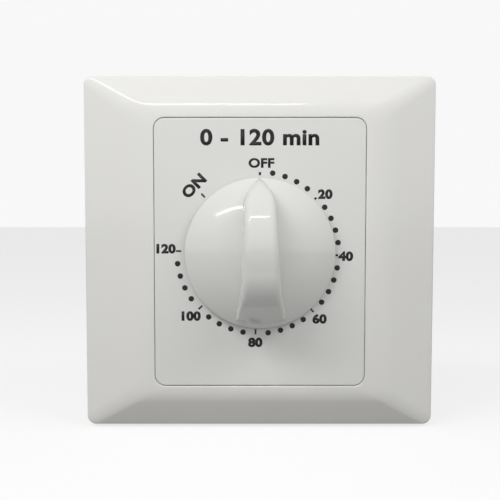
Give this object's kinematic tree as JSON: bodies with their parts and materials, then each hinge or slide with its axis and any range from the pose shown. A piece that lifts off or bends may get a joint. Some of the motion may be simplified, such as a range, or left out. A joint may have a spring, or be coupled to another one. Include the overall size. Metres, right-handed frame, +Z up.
{
  "type": "countdown timer switch",
  "caption": "Flush square wall timer switch with a pointed turn knob, a numbered dial and a spring driven movement that opens a pair of contacts.",
  "frame": {"origin": "middle of the plate on the wall's face, midway between the two wall screws", "axes": "+X right as seen from the front, +Z up, +Y into the wall, so the dial faces -Y"},
  "size_m": [0.086, 0.0515, 0.086],
  "materials": {
    "frame_white": "smooth moulded gloss",
    "panel_white": "fine satin gloss",
    "knob_white": "polished moulded gloss",
    "yoke_white": "fine matt moulding",
    "housing_white": "fine matt moulding",
    "steel": "zinc plated",
    "spring_steel": "blued and polished",
    "brass": "stamped and brushed",
    "silver": "satin silver",
    "phenolic": "pressed resin board",
    "nylon": "natural nylon"
  },
  "bodies": {
    "wall_plate": {"cover_frame": "frame_white", "inner_panel": "panel_white", "panel_screws": "steel", "mounting_yoke": "yoke_white", "rear_housing": "housing_white", "housing_screws": "steel", "spindle_bush": "brass", "front_bearing_plate": "steel", "rear_bearing_plate": "steel", "plate_pillars": "brass", "pillar_screws": "steel", "stop_pin": "steel", "mainspring_cup": "steel", "mainspring": "spring_steel", "hairspring": "spring_steel", "hairspring_stud": "brass", "moving_contact_blade": "brass", "moving_contact": "silver", "fixed_contact_blade": "brass", "fixed_contact": "silver", "contact_carrier": "phenolic", "carrier_screws": "steel", "terminal_blocks": "brass", "terminal_screws": "steel"},
    "knob": {"knob": "knob_white", "knob_clip": "spring_steel", "spindle": "steel", "clutch_spring": "spring_steel", "clutch_collar": "brass", "stop_arm": "steel", "switching_cam": "nylon", "cam_clip": "spring_steel"},
    "main_wheel": {"main_wheel": "brass"},
    "second_wheel": {"second_wheel": "brass", "second_pinion": "steel"},
    "third_wheel": {"third_wheel": "brass", "third_pinion": "steel"},
    "escape_wheel": {"escape_wheel": "brass", "escape_pinion": "steel"},
    "balance": {"balance_wheel": "brass", "balance_staff": "steel"},
    "pallet_lever": {"pallet_lever": "brass", "pallet_arbor": "steel"}
  },
  "joints": [
    {"name": "knob_turn", "type": "hinge", "parent": "wall_plate", "child": "knob", "pos_m": [0, 0, 0], "axis": [0, 1, 0], "range_deg": [-45, 270], "deforming": ["mainspring", "moving_contact_blade", "moving_contact"]},
    {"name": "main_wheel_turn", "type": "hinge", "parent": "wall_plate", "child": "main_wheel", "pos_m": [0, 0, 0], "axis": [0, 1, 0], "continuous": true},
    {"name": "second_wheel_turn", "type": "hinge", "parent": "wall_plate", "child": "second_wheel", "pos_m": [0.0075, 0, -0.01299], "axis": [0, 1, 0], "continuous": true},
    {"name": "third_wheel_turn", "type": "hinge", "parent": "wall_plate", "child": "third_wheel", "pos_m": [-0.0028, 0, -0.01444], "axis": [0, 1, 0], "continuous": true},
    {"name": "escape_wheel_turn", "type": "hinge", "parent": "wall_plate", "child": "escape_wheel", "pos_m": [-0.01111, 0, -0.00964], "axis": [0, 1, 0], "continuous": true},
    {"name": "balance_swing", "type": "hinge", "parent": "wall_plate", "child": "balance", "pos_m": [-0.01305, 0, 0.00853], "axis": [0, 1, 0], "range_deg": [-24, 24], "stiffness_Nm_per_rad": 0.00002, "deforming": ["hairspring"]},
    {"name": "pallet_rock", "type": "hinge", "parent": "wall_plate", "child": "pallet_lever", "pos_m": [-0.01453, 0, -0.00196], "axis": [0, 1, 0], "range_deg": [-9.2, 9.2]}
  ],
  "couplings": [
    {"joint": "second_wheel_turn", "follows": "main_wheel_turn", "ratio": -4},
    {"joint": "third_wheel_turn", "follows": "main_wheel_turn", "ratio": 13.333},
    {"joint": "escape_wheel_turn", "follows": "main_wheel_turn", "ratio": -40},
    {"joint": "pallet_rock", "follows": "balance_swing", "ratio": -0.38}
  ]
}
